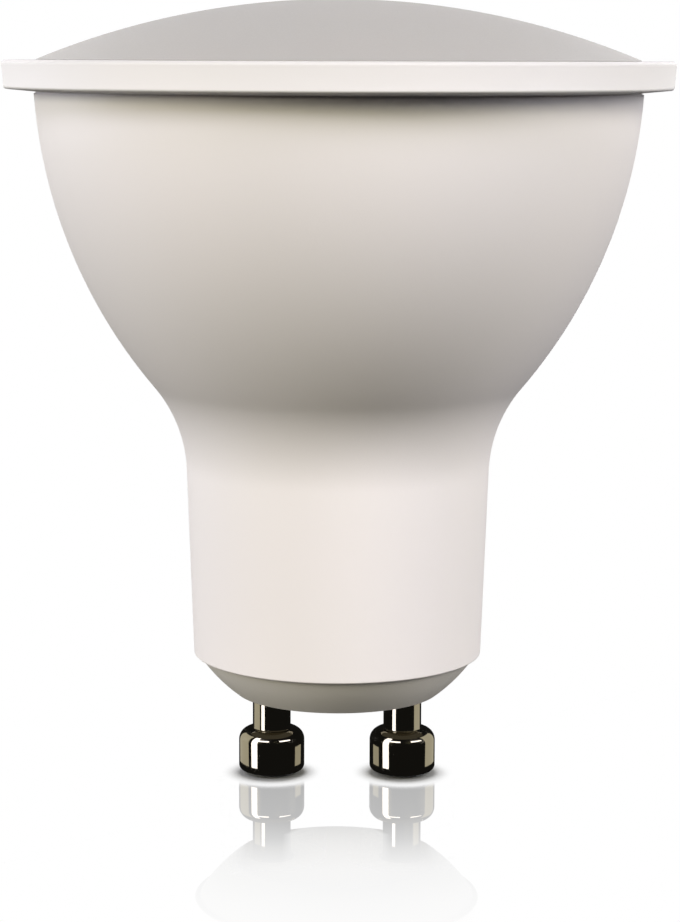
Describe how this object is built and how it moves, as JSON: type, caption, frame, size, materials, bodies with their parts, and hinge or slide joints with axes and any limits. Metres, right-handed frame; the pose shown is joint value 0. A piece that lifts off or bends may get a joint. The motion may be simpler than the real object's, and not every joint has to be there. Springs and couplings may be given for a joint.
{
  "type": "spotlight bulb",
  "caption": "Bell-shaped reflector spotlight bulb with a shallow opal dome, a wide front ring, a tapered neck and a twist-lock pin base.",
  "frame": {"origin": "on the lamp's axis, in the plane of the pins' ends, on which it stands", "axes": "+Z along the axis towards the dome, the two pins along X"},
  "size_m": [0.05, 0.05, 0.0586],
  "materials": {
    "body_plastic": "warm white, finely textured moulding",
    "ring_plastic": "warm white, smooth satin moulding",
    "opal_dome": "opal, frosted",
    "cap_plastic": "off-white, plain moulding",
    "plated_pin": "bright nickel plate, turned"
  },
  "bodies": {
    "root": {"housing": "body_plastic", "front_ring": "ring_plastic", "diffuser": "opal_dome", "base_cap": "cap_plastic", "contact_pin_left": "plated_pin", "contact_pin_right": "plated_pin"}
  },
  "joints": []
}
